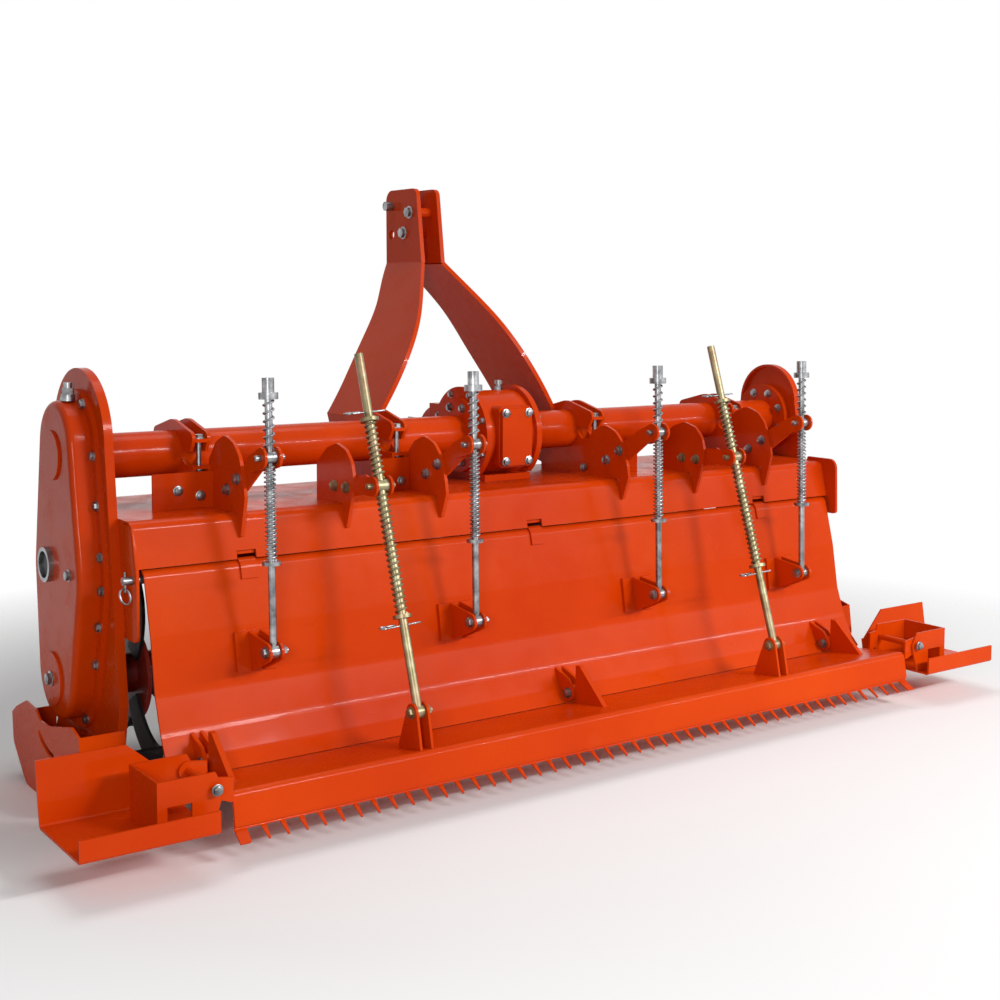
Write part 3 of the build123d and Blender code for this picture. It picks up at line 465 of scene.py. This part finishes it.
# ------------------------------------------------------------------ gear drive and gearbox
CASE_FACE_X = -1080  # the drive case's flange
CASE_TOP = (0, 28, 112)  # y and z of a round of the flange, and its bolts' radius
CASE_MIDDLE = (0, -250, 158)
CASE_FOOT = (18, -470, 124)
CASE_SIDES = (  # two rounds, and how far between them the bolts of the straight sides are
    (CASE_TOP, CASE_MIDDLE, (0.05, 0.43, 0.82)),
    (CASE_MIDDLE, CASE_FOOT, (0.1, 0.47, 0.86)),
)
CASE_END_TURNS = (58, 122)


def case_bolt_places():
    """Bolts round the drive case's flange, as (y, z)."""
    places = []
    for (y0, z0, r0), (y1, z1, r1), steps in CASE_SIDES:
        for step in steps:
            middle = y0 + (y1 - y0) * step
            reach = r0 + (r1 - r0) * step
            height = z0 + (z1 - z0) * step
            places += [(middle - reach, height), (middle + reach, height)]
    for (y, z, r), way in ((CASE_TOP, 1), (CASE_FOOT, -1)):
        for turn in CASE_END_TURNS:
            places.append((y + r * cos(radians(turn)), z + way * r * sin(radians(turn))))
    return places


def tube_circle(shape, face, way, radius, turns):
    """Bolts on a circle round the main tube's axis, on an upright face at x."""
    found = []
    for turn in turns:
        y, z = radius * cos(radians(turn)), radius * sin(radians(turn))
        found.append((shape, at(face, y, z), way))
    return found


fixings("case_bolts", "frame", ZINC,
        [(m10_head, at(CASE_FACE_X, y, z), LEFT) for y, z in case_bolt_places()])

GEARBOX_X = 27
GEARBOX_FACES = ((-60, LEFT), (114, RIGHT))
GEARBOX_BOLT_RADIUS = 112
GEARBOX_TURNS = (22.5, 67.5, 112.5, 157.5, 202.5, 337.5)  # none beneath, where the seat is
TUBE_FLANGE_FACES = ((-72, LEFT), (126, RIGHT), (-1038, RIGHT), (1038, LEFT))
TUBE_BOLT_RADIUS = 76
TUBE_TURNS = [22.5 + 45 * number for number in range(8)]
COVER_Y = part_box("gearbox_cover")[0][1] * 1000 - TUBE_Y * 1000
COVER_BOLT_X = 36  # from the cover's middle
COVER_BOLT_Z = 62

gearbox_fixings = [
    (m10_head, at(GEARBOX_X + x, COVER_Y, z), REAR)
    for x in (-COVER_BOLT_X, COVER_BOLT_X)
    for z in (-COVER_BOLT_Z, COVER_BOLT_Z)
]
for face, way in GEARBOX_FACES:
    gearbox_fixings += tube_circle(m8_head, face, way, GEARBOX_BOLT_RADIUS, GEARBOX_TURNS)
for face, way in TUBE_FLANGE_FACES:
    gearbox_fixings += tube_circle(m10_head, face, way, TUBE_BOLT_RADIUS, TUBE_TURNS)
fixings("gearbox_bolts", "frame", ZINC, gearbox_fixings)

BREATHER_X = 62
BARREL_TOP = 113  # the gearbox barrel's radius
breather_foot = prism(6, 0.0105, -0.001, 0.009, 0.0015)
breather_neck = prism(16, 0.0065, 0.008, 0.017, 0.001)
breather_cap = prism(20, 0.0098, 0.016, 0.025, 0.003)
breather_nut = merged([breather_foot, breather_neck, breather_cap])
fixings("gearbox_breather", "frame", ZINC,
        [(breather_nut, at(BREATHER_X, 0, BARREL_TOP), UP)])
discard(breather_nut)

# ------------------------------------------------------------------ clamps, arms and clevises
PLATE = 8  # thickness of a lobe plate
ARM = 6  # thickness of an arm
SPRING_X = (-800, -281, 281, 800)
SPRING_EYE = (-399, -392)  # y, z, as in the pairs below
SPRING_SWIVEL = (-388, 19)
SPRING_ARM_BOLTS = ((-196, -68), (-247, -40))
SPRING_SWIVEL_HALF = 20.5  # half of a swivel pin's length
ADJUSTER_X = (-537, 537)
ADJUSTER_EYE = (-554, -527)
ADJUSTER_SWIVEL = (-399, -58)
ADJUSTER_ARM_BOLTS = ((-207, -77), (-262, -76))
ADJUSTER_SWIVEL_HALF = 22.5
CLEVIS_HALF = 17  # half of a clevis over its ears
LEVELLER_HINGE_X = (-955, 0, 900)
LEVELLER_HINGE = (-406, -600)
LEVELLER_HINGE_HALF = 15
WING_PIVOT_X = 1030
WING_PIN_END = (-619, -584)
CLAMP_X = (-830, -312, 312, 830)
CLAMP_BOLT_Y = 96  # in front of the tube's axis and behind it
CLAMP_SHANK_Z = -26
CLAMP_TOP = 38
CLAMP_GRIP = 68
BRACKET_Y = -120  # rear face of the plates below the clamps
BRACKET_BOLTS = ((-891, -74), (-838, -88), (-313, -91), (256, -94), (344, -89), (391, -65))


def through(point, way, grip, head, nut):
    """Head at a point, facing a way, and a nut on the far side of the grip."""
    far = Vector(way) * -1
    return [(head, point, way), (nut, point + far * (grip / 1000), far)]


def across(xs, place, half, head, nut):
    """Bolts along the machine's length through forks centred at xs."""
    found = []
    for x in xs:
        found += through(at(x - half, *place), LEFT, 2 * half, head, nut)
    return found


def arm_bolts(xs, places):
    """Bolts that hold the arms to their lobe plates."""
    found = []
    for place in places:
        for x in xs:
            found += through(at(x - PLATE, *place), LEFT, PLATE + ARM, m12_head, m12_nut)
    return found


SHANK_RADIUS = 0.006
SHANK_LENGTH = 0.060
clamp_shank = prism(12, SHANK_RADIUS, 0, SHANK_LENGTH, 0.0005)
clamp_fixings = [(m10_head, at(x, BRACKET_Y, z), REAR) for x, z in BRACKET_BOLTS]
for x in CLAMP_X:
    for y in (-CLAMP_BOLT_Y, CLAMP_BOLT_Y):
        clamp_fixings.append((clamp_shank, at(x, y, CLAMP_SHANK_Z), UP))
        clamp_fixings += through(at(x, y, CLAMP_TOP), UP, CLAMP_GRIP, m12_head, m12_nut)
fixings("clamp_bolts", "frame", ZINC, clamp_fixings)

fixings("spring_arm_bolts", "frame", ZINC,
        arm_bolts(SPRING_X, SPRING_ARM_BOLTS))
fixings("adjuster_arm_bolts", "frame", GOLD,
        arm_bolts(ADJUSTER_X, ADJUSTER_ARM_BOLTS))
fixings("spring_swivel_ends", "spring_swivels", ZINC,
        across(SPRING_X, SPRING_SWIVEL, SPRING_SWIVEL_HALF, pin_end, pin_end))
fixings("adjuster_swivel_ends", "adjuster_swivels", GOLD,
        across(ADJUSTER_X, ADJUSTER_SWIVEL, ADJUSTER_SWIVEL_HALF, pin_end, pin_end))
fixings("apron_clevis_bolts", "apron", ZINC,
        across(SPRING_X, SPRING_EYE, CLEVIS_HALF, m12_head, m12_nut))
fixings("leveller_clevis_bolts", "leveller", GOLD,
        across(ADJUSTER_X, ADJUSTER_EYE, CLEVIS_HALF, m12_head, m12_nut))
fixings("leveller_hinge_ends", "leveller", ZINC,
        across(LEVELLER_HINGE_X, LEVELLER_HINGE, LEVELLER_HINGE_HALF, m12_head, m12_nut))
fixings("wing_pin_heads", "leveller", ZINC,
        [(m10_head, at(x, *WING_PIN_END), REAR) for x in (-WING_PIVOT_X, WING_PIVOT_X)])

MAST_HALF = 38  # from the middle to the outer face of a mast leg's head
MAST_BOLTS = ((283, 588), (314, 533))
MAST_FOOT_X = 296  # outer face of a mast leg's foot
MAST_FOOT = (140, 10)
mast_fixings = []
for place in MAST_BOLTS:
    mast_fixings += through(at(-MAST_HALF, *place), LEFT, 2 * MAST_HALF, m16_head, m16_nut)
mast_fixings.append((m16_head, at(-MAST_FOOT_X, *MAST_FOOT), LEFT))
mast_fixings.append((m16_head, at(MAST_FOOT_X, *MAST_FOOT), RIGHT))
fixings("mast_bolts", "frame", ZINC, mast_fixings)


# ------------------------------------------------------------------ coil springs
def coil(outer, wire, pitch, length):
    """Spring standing on the origin, with an even pitch and the wire's two ends filled."""
    settle()
    bpy.ops.mesh.primitive_circle_add(
        vertices=8,
        radius=wire / 2,
        location=(outer - wire / 2, 0, wire / 2),
        rotation=(pi / 2, 0, 0),
    )
    bpy.ops.object.transform_apply(location=True, rotation=True, scale=False)
    piece = bpy.context.object
    turns = round((length - wire) / pitch)
    screw = piece.modifiers.new("turns", "SCREW")
    screw.axis = "Z"
    screw.steps = 16
    screw.render_steps = 16
    screw.iterations = turns
    screw.screw_offset = (length - wire) / turns
    screw.use_merge_vertices = False
    bpy.ops.object.modifier_apply(modifier="turns")
    edit(piece, "EDGE")
    bpy.ops.mesh.select_all(action="SELECT")
    bpy.ops.mesh.fill_holes(sides=12)
    bpy.ops.mesh.select_all(action="SELECT")
    bpy.ops.mesh.normals_make_consistent(inside=False)
    bpy.ops.mesh.select_mode(type="FACE")
    return merged([piece])


def along(line, reach):
    """Point on a rod's line, a distance from its eye, as (y, z), and the rod's direction."""
    eye, swivel = line
    way = Vector((0, swivel[0] - eye[0], swivel[1] - eye[1])).normalized()
    return eye[0] + way.y * reach, eye[1] + way.z * reach, way


def springs(name, node, body, finish, xs, line, start, size):
    """A spring on each rod in place of the node's plain sleeves."""
    outer, wire, pitch, length = (value / 1000 for value in size)
    shape = coil(outer, wire, pitch, length)
    y, z, way = along(line, start)
    piece = fixings(name, body, finish, [(shape, at(x, y, z), way) for x in xs])
    discard(shape)
    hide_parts(node)
    return piece


def closes_up(piece, line, start):
    """Gives the spring a mesh of its own; its length stays fixed."""
    y, z, way = along(line, start)
    tuple(at(0, y, z))
    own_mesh(piece)


SPRING_LINE = (SPRING_EYE, SPRING_SWIVEL)
SPRING_REACH = hypot(SPRING_SWIVEL[0] - SPRING_EYE[0], SPRING_SWIVEL[1] - SPRING_EYE[1])
SPRING_UPPER_START = SPRING_REACH + 14.5
SPRING_LOWER_START = SPRING_REACH - 218.5
SPRING_UPPER = (13, 4.6, 17, 108.5)  # outer radius, wire, pitch and length
SPRING_LOWER = (13, 4.6, 9.3, 204)
ADJUSTER_LINE = (ADJUSTER_EYE, ADJUSTER_SWIVEL)
ADJUSTER_REACH = hypot(
    ADJUSTER_SWIVEL[0] - ADJUSTER_EYE[0], ADJUSTER_SWIVEL[1] - ADJUSTER_EYE[1]
)
ADJUSTER_UPPER_START = ADJUSTER_REACH + 16
ADJUSTER_LOWER_START = ADJUSTER_REACH - 285
ADJUSTER_UPPER = (15, 5, 12.6, 130)
ADJUSTER_LOWER = (15, 5, 12.6, 269)

springs("spring_coils_upper", "springs_upper", "spring_rods", ZINC, SPRING_X,
        SPRING_LINE, SPRING_UPPER_START, SPRING_UPPER)
lower = springs("spring_coils_lower", "springs_lower", "spring_rods", ZINC, SPRING_X,
                SPRING_LINE, SPRING_LOWER_START, SPRING_LOWER)
closes_up(lower, SPRING_LINE, SPRING_LOWER_START)
springs("adjuster_coils_upper", "adjuster_springs_upper", "adjuster_rods", GOLD,
        ADJUSTER_X, ADJUSTER_LINE, ADJUSTER_UPPER_START, ADJUSTER_UPPER)
lower = springs("adjuster_coils_lower", "adjuster_springs_lower", "adjuster_rods", GOLD,
                ADJUSTER_X, ADJUSTER_LINE, ADJUSTER_LOWER_START,
                ADJUSTER_LOWER)
closes_up(lower, ADJUSTER_LINE, ADJUSTER_LOWER_START)

# ------------------------------------------------------------------ spring clips on the rods
CLIP_WIRE = 0.0021  # radius of the wire
CLIP_RING = 0.0085
CLIP_LEG = (-0.040, 0.042)  # from the ring's side to the tip
CLIP_OUTER_LEG = (-0.044, -0.014)
CLIP_OUTER_X = 0.0145
CLIP_RING_Z = -0.046
CLIP_CHAMFER = 0.0006
CLIP_WAY = (1, 0, 0.05)
CLIP_REACHES = (ADJUSTER_REACH + 168, ADJUSTER_REACH - 308)


def clip_shape():
    """Hairpin clip: a straight leg along +z, a ring behind it and a short outer leg."""
    leg = prism(10, CLIP_WIRE, *CLIP_LEG, CLIP_CHAMFER)
    ring = upright_ring((CLIP_RING, 0, CLIP_RING_Z), CLIP_RING, CLIP_WIRE, 20)
    outer = prism(10, CLIP_WIRE, *CLIP_OUTER_LEG, CLIP_CHAMFER)
    activate(outer)
    bpy.ops.transform.translate(value=(CLIP_OUTER_X, 0, 0))
    return merged([leg, ring, outer])


clip = clip_shape()
clips = []
for x in ADJUSTER_X:
    for reach in CLIP_REACHES:
        y, z, way = along(ADJUSTER_LINE, reach)
        clips.append(copy_at(clip, at(x, y, z), CLIP_WAY, pi / 2))
finished(merged(clips), "rod_clips", "adjuster_rods", ZINC)
discard(clip)


# ------------------------------------------------------------------ hood sheet work
def slab(points, depth, edge):
    """Flat plate over points (y, z), a depth along +x from x = 0, with softened edges."""
    settle()
    bpy.ops.mesh.primitive_circle_add(
        vertices=len(points), radius=0.1, fill_type="NGON", rotation=(0, pi / 2, 0)
    )
    plate = bpy.context.object
    bpy.ops.object.transform_apply(location=False, rotation=True, scale=False)
    edit(plate, "VERT")
    for number, (y, z) in enumerate(points):
        move_corner(plate, number, at(0, y, z))
    bpy.ops.mesh.select_mode(type="FACE")
    bpy.ops.mesh.select_all(action="SELECT")
    bpy.ops.mesh.extrude_region_move(TRANSFORM_OT_translate={"value": (depth / 1000, 0, 0)})
    bpy.ops.mesh.select_all(action="SELECT")
    bpy.ops.mesh.normals_make_consistent(inside=False)
    activate(plate)
    soften = plate.modifiers.new("soften", "BEVEL")
    soften.width = edge / 1000
    soften.segments = 2
    bpy.ops.object.modifier_apply(modifier="soften")
    return plate


def sheet_pieces(name, body, outline, depth, edge, xs):
    """Copies of one plate at several places along the machine, as one orange piece."""
    plate = slab(outline, depth, edge)
    copies = [copy_at(plate, Vector((x / 1000, 0, 0)), UP) for x in xs]
    discard(plate)
    finished(merged(copies), name, body, ORANGE)


END_SHEET = (  # corners as (y, z)
    (-200, -122), (-246, -122), (-271, -216), (-272, -352), (-268, -363), (-258, -368),
    (-200, -368),
)
END_SHEET_X = -1049.5
END_SHEET_DEPTH = 7
LIP_FILL = ((-248.5, -193), (-251.3, -204), (-256.2, -203), (-253.6, -192))
LIP_NOTCH_X = (-818, -36, 743)  # where the apron's straps pass the hood's lip
LIP_NOTCH_WIDTH = 46
sheet_pieces("hood_end_sheet", "frame", END_SHEET, END_SHEET_DEPTH, 0.8, [END_SHEET_X])
sheet_pieces("hood_lip_fills", "frame", LIP_FILL, LIP_NOTCH_WIDTH, 0.6, LIP_NOTCH_X)

# ------------------------------------------------------------------ linch pin of the hinge rod
LINCH_PLACE = (-1066, -252, -236)
LINCH_WAY = (0.2, 0.5, 0.84)
LINCH_TURN = 0.5
LINCH_LEG = (-0.026, 0.020)
LINCH_RING_RADIUS = 0.0165
LINCH_RING_Z = -0.034

linch_leg = prism(10, 0.0024, *LINCH_LEG, 0.0006)
linch_ring = upright_ring((0, 0, LINCH_RING_Z), LINCH_RING_RADIUS, 0.0022, 24)
linch = merged([linch_leg, linch_ring])
finished(copy_at(linch, at(*LINCH_PLACE), LINCH_WAY, LINCH_TURN), "hinge_linch_pin",
         "frame", ZINC)
discard(linch)

# ------------------------------------------------------------------ drive case details
# The black disc on the port's face is painted shade standing in for the dark hole inside the
# port's zinc ring.
PORT_SHADE_DISC_PLACE = (-1131, 46, -238)
LEVEL_PLUG_PLACE = (-1128, -88, -243)
FOOT_PLUG_PLACE = (-1133, 28, -492)
SHADE_DISC_RADIUS = 0.0285
SHADE_DISC_THICKNESS = 0.0015

# Thin black disc just over the port's face: painted shade of the port's hole, not a glass.
port_glass = prism(24, SHADE_DISC_RADIUS, 0, SHADE_DISC_THICKNESS, 0.0005)
fixings("port_glass", "frame", BLADE_BLACK,
        [(port_glass, at(*PORT_SHADE_DISC_PLACE), LEFT)])
fixings("case_plugs", "frame", ZINC,
        [(m12_head, at(*LEVEL_PLUG_PLACE), LEFT), (m16_head, at(*FOOT_PLUG_PLACE), LEFT)])
discard(m8_head, m10_head, m12_head, m12_nut, m16_head, m16_nut)
discard(pin_end, port_glass, clamp_shank)


# ------------------------------------------------------------------ floor, light and camera
FLOOR_SOLID = 1.35  # metres from the middle to where the floor starts to fade
FLOOR_GONE = 2.5


def paper_floor():
    """Pale paper that fades out with distance, so that the backdrop's white takes over."""
    paper = Finish("floor_paper", Roughness=0.9, Specular_IOR_Level=0.1)
    operation = {"operation": "LENGTH"}
    distance = paper.add("ShaderNodeVectorMath", operation, {0: paper.place}, "Value")
    shade = paper.ramp(
        paper.noise(0.8, 2.0),
        (0.0, (0.92, 0.92, 0.92, 1)),
        (1.0, (0.95, 0.95, 0.95, 1)),
    )
    paper.drive("Base Color", shade)
    paper.drive("Alpha", paper.span(distance, FLOOR_SOLID, FLOOR_GONE, 1.0, 0.0))
    return paper.material


bpy.ops.mesh.primitive_plane_add(size=12, location=(0, 0, 0))
floor = bpy.context.object
floor.name = "floor"
floor.data.materials.append(paper_floor())


def softbox(name, location, target, width, height, power):
    """Rectangular lamp turned towards a point."""
    bpy.ops.object.light_add(type="AREA", location=location)
    lamp = bpy.context.object
    lamp.name = name
    lamp.data.shape = "RECTANGLE"
    lamp.data.size = width
    lamp.data.size_y = height
    lamp.data.energy = power
    way = Vector(target) - Vector(location)
    lamp.rotation_euler = way.to_track_quat("-Z", "Y").to_euler()


softbox("key_light", (1.2, -4.6, 3.0), (0, -0.2, 0.5), 1.0, 0.7, 95)
softbox("fill_light", (-2.8, -3.2, 1.3), (-0.8, -0.3, 0.2), 0.8, 0.6, 42)
softbox("strip_light", (2.9, -3.7, 2.2), (2.7, -0.2, 0.3), 4.2, 0.08, 125)
softbox("top_light", (0, 0.6, 4.4), (0, 0, 0.6), 3.0, 1.6, 48)

EVEN_LIGHT = 0.18  # strength of the world's light on the object


def studio_world():
    """White to the camera and in reflections, and a dimmer even light on the object."""
    world = bpy.data.worlds.new("studio")
    world.use_nodes = True
    nodes, links = world.node_tree.nodes, world.node_tree.links
    dim = nodes["Background"]
    dim.inputs["Color"].default_value = (1, 1, 1, 1)
    dim.inputs["Strength"].default_value = EVEN_LIGHT
    white = nodes.new("ShaderNodeBackground")
    white.inputs["Color"].default_value = (1, 1, 1, 1)
    rays = nodes.new("ShaderNodeLightPath")
    seen = nodes.new("ShaderNodeMath")
    seen.operation = "MAXIMUM"
    links.new(rays.outputs["Is Camera Ray"], seen.inputs[0])
    links.new(rays.outputs["Is Transmission Ray"], seen.inputs[1])
    either = nodes.new("ShaderNodeMath")
    either.operation = "MAXIMUM"
    links.new(seen.outputs[0], either.inputs[0])
    links.new(rays.outputs["Is Glossy Ray"], either.inputs[1])
    mix = nodes.new("ShaderNodeMixShader")
    links.new(either.outputs[0], mix.inputs[0])
    links.new(dim.outputs[0], mix.inputs[1])
    links.new(white.outputs[0], mix.inputs[2])
    links.new(mix.outputs[0], nodes["World Output"].inputs["Surface"])
    return world


bpy.context.scene.world = studio_world()

CAMERA_PLACE = (-2173, -3155, 354)
CAMERA_TURNS = (85.511, -0.221, -35.364)  # degrees
bpy.ops.object.camera_add(
    location=at(*CAMERA_PLACE), rotation=[radians(turn) for turn in CAMERA_TURNS]
)
camera = bpy.context.object
camera.data.sensor_width = 36.0
camera.data.lens = 52.71
camera.data.shift_y = -0.0867
bpy.context.scene.camera = camera
bpy.context.scene.view_settings.view_transform = "Standard"
